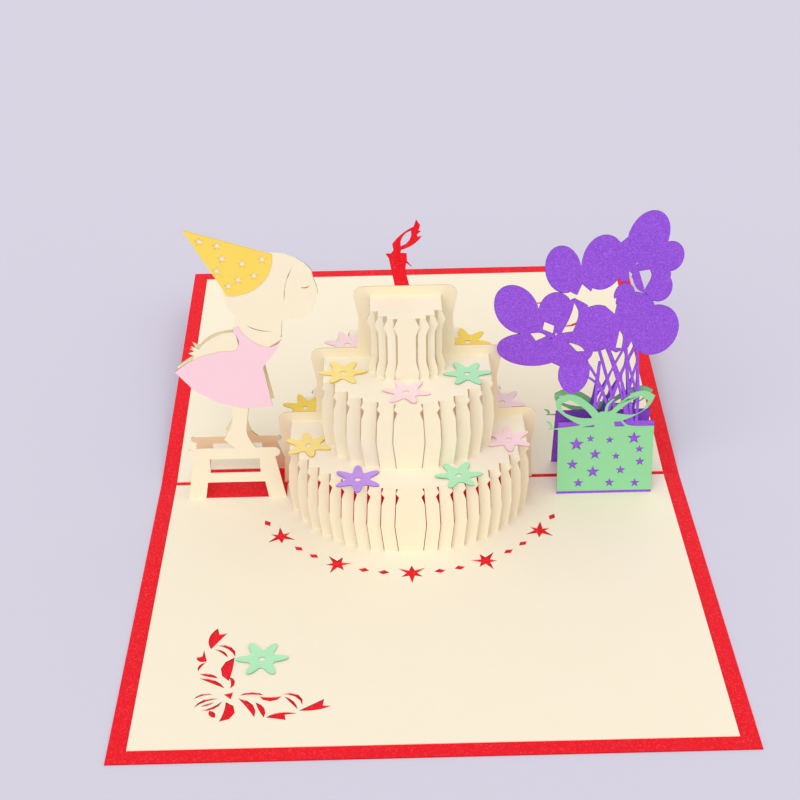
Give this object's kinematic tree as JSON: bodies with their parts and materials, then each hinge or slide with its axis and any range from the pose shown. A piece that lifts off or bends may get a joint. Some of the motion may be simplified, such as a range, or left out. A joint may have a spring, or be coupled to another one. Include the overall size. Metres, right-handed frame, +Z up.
{
  "type": "pop up card",
  "caption": "Open folded greeting card with a tiered paper cake rising from the fold, a child on a stool on one side and a gift box with balloons on the other.",
  "frame": {"origin": "centre of the card's footprint on the table, under the middle of the bounding box", "axes": "+X to the right as seen from the front page, +Y from the front page to the raised back page, +Z up"},
  "size_m": [0.2, 0.2991, 0.1155],
  "materials": {
    "red_card": "pearl",
    "cream_paper": "matte",
    "yellow_paper": "matte",
    "pink_paper": "matte",
    "green_paper": "matte",
    "purple_card": "matte"
  },
  "bodies": {
    "root": {"cover": "red_card", "front_liner": "cream_paper", "back_liner": "cream_paper", "cake_panel": "cream_paper", "candle": "red_card", "flower_front_middle_left": "yellow_paper", "flower_front_middle_centre": "pink_paper", "flower_front_middle_right": "green_paper", "flower_front_lower_left": "yellow_paper", "flower_front_lower_mid_left": "purple_card", "flower_front_lower_mid_right": "green_paper", "flower_front_lower_right": "pink_paper", "flower_back_middle_left": "pink_paper", "flower_back_middle_right": "yellow_paper", "flower_back_lower_left": "yellow_paper", "flower_back_lower_right": "pink_paper", "flower_page": "green_paper", "dress_front": "pink_paper", "dress_back": "pink_paper", "hat_front": "yellow_paper", "hat_back": "yellow_paper", "balloons_front": "purple_card", "balloons_back": "purple_card", "gift_wrap_front": "green_paper", "gift_wrap_back": "green_paper"}
  },
  "joints": []
}
